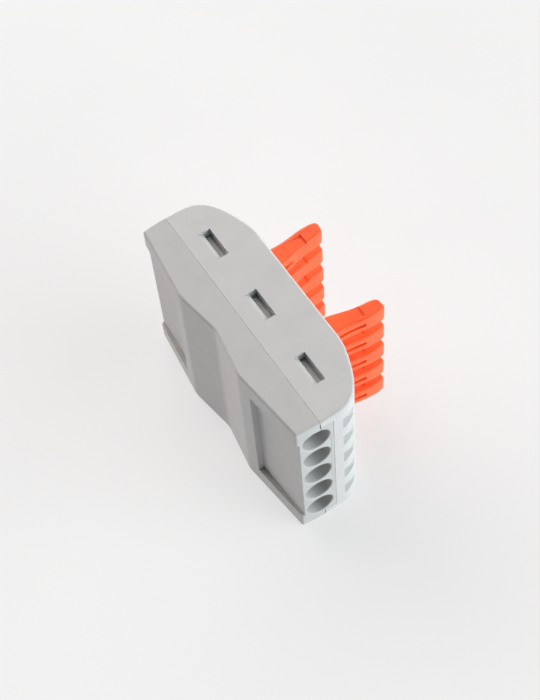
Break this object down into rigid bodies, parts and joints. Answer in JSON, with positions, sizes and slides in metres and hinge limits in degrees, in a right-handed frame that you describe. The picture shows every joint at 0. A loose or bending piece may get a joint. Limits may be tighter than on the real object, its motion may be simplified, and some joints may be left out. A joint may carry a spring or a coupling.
{
  "type": "lever wire connector",
  "caption": "Inline splicing connector: grey two-part housing with round wire entries at both ends and two rows of open orange levers on top.",
  "frame": {"origin": "on the resting side wall, under the middle of the bounding box with the levers open", "axes": "+X along the wires, +Y towards the levers, +Z across the poles and up from the resting side wall"},
  "size_m": [0.0398, 0.0234, 0.0283],
  "materials": {
    "cap_plastic": "fine matt moulded light grey",
    "base_plastic": "fine matt moulded light grey",
    "lever_plastic": "satin orange",
    "tinned_copper": "tin-plated copper strip",
    "spring_steel": "rolled stainless spring strip"
  },
  "bodies": {
    "housing": {"housing_cap": "cap_plastic", "base_cover": "base_plastic", "busbar_1": "tinned_copper", "busbar_2": "tinned_copper", "busbar_3": "tinned_copper", "busbar_4": "tinned_copper", "busbar_5": "tinned_copper"},
    "lever_left_1": {"lever_left_1": "lever_plastic"},
    "lever_right_1": {"lever_right_1": "lever_plastic"},
    "lever_left_2": {"lever_left_2": "lever_plastic"},
    "lever_right_2": {"lever_right_2": "lever_plastic"},
    "lever_left_3": {"lever_left_3": "lever_plastic"},
    "lever_right_3": {"lever_right_3": "lever_plastic"},
    "lever_left_4": {"lever_left_4": "lever_plastic"},
    "lever_right_4": {"lever_right_4": "lever_plastic"},
    "lever_left_5": {"lever_left_5": "lever_plastic"},
    "lever_right_5": {"lever_right_5": "lever_plastic"},
    "spring_left_1": {"clamp_spring_left_1": "spring_steel"},
    "spring_right_1": {"clamp_spring_right_1": "spring_steel"},
    "spring_left_2": {"clamp_spring_left_2": "spring_steel"},
    "spring_right_2": {"clamp_spring_right_2": "spring_steel"},
    "spring_left_3": {"clamp_spring_left_3": "spring_steel"},
    "spring_right_3": {"clamp_spring_right_3": "spring_steel"},
    "spring_left_4": {"clamp_spring_left_4": "spring_steel"},
    "spring_right_4": {"clamp_spring_right_4": "spring_steel"},
    "spring_left_5": {"clamp_spring_left_5": "spring_steel"},
    "spring_right_5": {"clamp_spring_right_5": "spring_steel"}
  },
  "joints": [
    {"name": "lever_left_1_pivot", "type": "hinge", "parent": "housing", "child": "lever_left_1", "pos_m": [-0.0068, 0.0009, 0.00415], "axis": [0, 0, 1], "range_deg": [0, 90]},
    {"name": "lever_right_1_pivot", "type": "hinge", "parent": "housing", "child": "lever_right_1", "pos_m": [0.0068, 0.0009, 0.00415], "axis": [0, 0, -1], "range_deg": [0, 90]},
    {"name": "lever_left_2_pivot", "type": "hinge", "parent": "housing", "child": "lever_left_2", "pos_m": [-0.0068, 0.0009, 0.00915], "axis": [0, 0, 1], "range_deg": [0, 90]},
    {"name": "lever_right_2_pivot", "type": "hinge", "parent": "housing", "child": "lever_right_2", "pos_m": [0.0068, 0.0009, 0.00915], "axis": [0, 0, -1], "range_deg": [0, 90]},
    {"name": "lever_left_3_pivot", "type": "hinge", "parent": "housing", "child": "lever_left_3", "pos_m": [-0.0068, 0.0009, 0.01415], "axis": [0, 0, 1], "range_deg": [0, 90]},
    {"name": "lever_right_3_pivot", "type": "hinge", "parent": "housing", "child": "lever_right_3", "pos_m": [0.0068, 0.0009, 0.01415], "axis": [0, 0, -1], "range_deg": [0, 90]},
    {"name": "lever_left_4_pivot", "type": "hinge", "parent": "housing", "child": "lever_left_4", "pos_m": [-0.0068, 0.0009, 0.01915], "axis": [0, 0, 1], "range_deg": [0, 90]},
    {"name": "lever_right_4_pivot", "type": "hinge", "parent": "housing", "child": "lever_right_4", "pos_m": [0.0068, 0.0009, 0.01915], "axis": [0, 0, -1], "range_deg": [0, 90]},
    {"name": "lever_left_5_pivot", "type": "hinge", "parent": "housing", "child": "lever_left_5", "pos_m": [-0.0068, 0.0009, 0.02415], "axis": [0, 0, 1], "range_deg": [0, 90]},
    {"name": "lever_right_5_pivot", "type": "hinge", "parent": "housing", "child": "lever_right_5", "pos_m": [0.0068, 0.0009, 0.02415], "axis": [0, 0, -1], "range_deg": [0, 90]},
    {"name": "spring_left_1_flex", "type": "hinge", "parent": "housing", "child": "spring_left_1", "pos_m": [-0.003, -0.00375, 0.00415], "axis": [0, 0, -1], "range_deg": [0, 15]},
    {"name": "spring_right_1_flex", "type": "hinge", "parent": "housing", "child": "spring_right_1", "pos_m": [0.003, -0.00375, 0.00415], "axis": [0, 0, 1], "range_deg": [0, 15]},
    {"name": "spring_left_2_flex", "type": "hinge", "parent": "housing", "child": "spring_left_2", "pos_m": [-0.003, -0.00375, 0.00915], "axis": [0, 0, -1], "range_deg": [0, 15]},
    {"name": "spring_right_2_flex", "type": "hinge", "parent": "housing", "child": "spring_right_2", "pos_m": [0.003, -0.00375, 0.00915], "axis": [0, 0, 1], "range_deg": [0, 15]},
    {"name": "spring_left_3_flex", "type": "hinge", "parent": "housing", "child": "spring_left_3", "pos_m": [-0.003, -0.00375, 0.01415], "axis": [0, 0, -1], "range_deg": [0, 15]},
    {"name": "spring_right_3_flex", "type": "hinge", "parent": "housing", "child": "spring_right_3", "pos_m": [0.003, -0.00375, 0.01415], "axis": [0, 0, 1], "range_deg": [0, 15]},
    {"name": "spring_left_4_flex", "type": "hinge", "parent": "housing", "child": "spring_left_4", "pos_m": [-0.003, -0.00375, 0.01915], "axis": [0, 0, -1], "range_deg": [0, 15]},
    {"name": "spring_right_4_flex", "type": "hinge", "parent": "housing", "child": "spring_right_4", "pos_m": [0.003, -0.00375, 0.01915], "axis": [0, 0, 1], "range_deg": [0, 15]},
    {"name": "spring_left_5_flex", "type": "hinge", "parent": "housing", "child": "spring_left_5", "pos_m": [-0.003, -0.00375, 0.02415], "axis": [0, 0, -1], "range_deg": [0, 15]},
    {"name": "spring_right_5_flex", "type": "hinge", "parent": "housing", "child": "spring_right_5", "pos_m": [0.003, -0.00375, 0.02415], "axis": [0, 0, 1], "range_deg": [0, 15]}
  ],
  "couplings": [
    {"joint": "spring_left_1_flex", "follows": "lever_left_1_pivot", "ratio": 0.1666},
    {"joint": "spring_right_1_flex", "follows": "lever_right_1_pivot", "ratio": 0.1666},
    {"joint": "spring_left_2_flex", "follows": "lever_left_2_pivot", "ratio": 0.1666},
    {"joint": "spring_right_2_flex", "follows": "lever_right_2_pivot", "ratio": 0.1666},
    {"joint": "spring_left_3_flex", "follows": "lever_left_3_pivot", "ratio": 0.1666},
    {"joint": "spring_right_3_flex", "follows": "lever_right_3_pivot", "ratio": 0.1666},
    {"joint": "spring_left_4_flex", "follows": "lever_left_4_pivot", "ratio": 0.1666},
    {"joint": "spring_right_4_flex", "follows": "lever_right_4_pivot", "ratio": 0.1666},
    {"joint": "spring_left_5_flex", "follows": "lever_left_5_pivot", "ratio": 0.1666},
    {"joint": "spring_right_5_flex", "follows": "lever_right_5_pivot", "ratio": 0.1666}
  ]
}
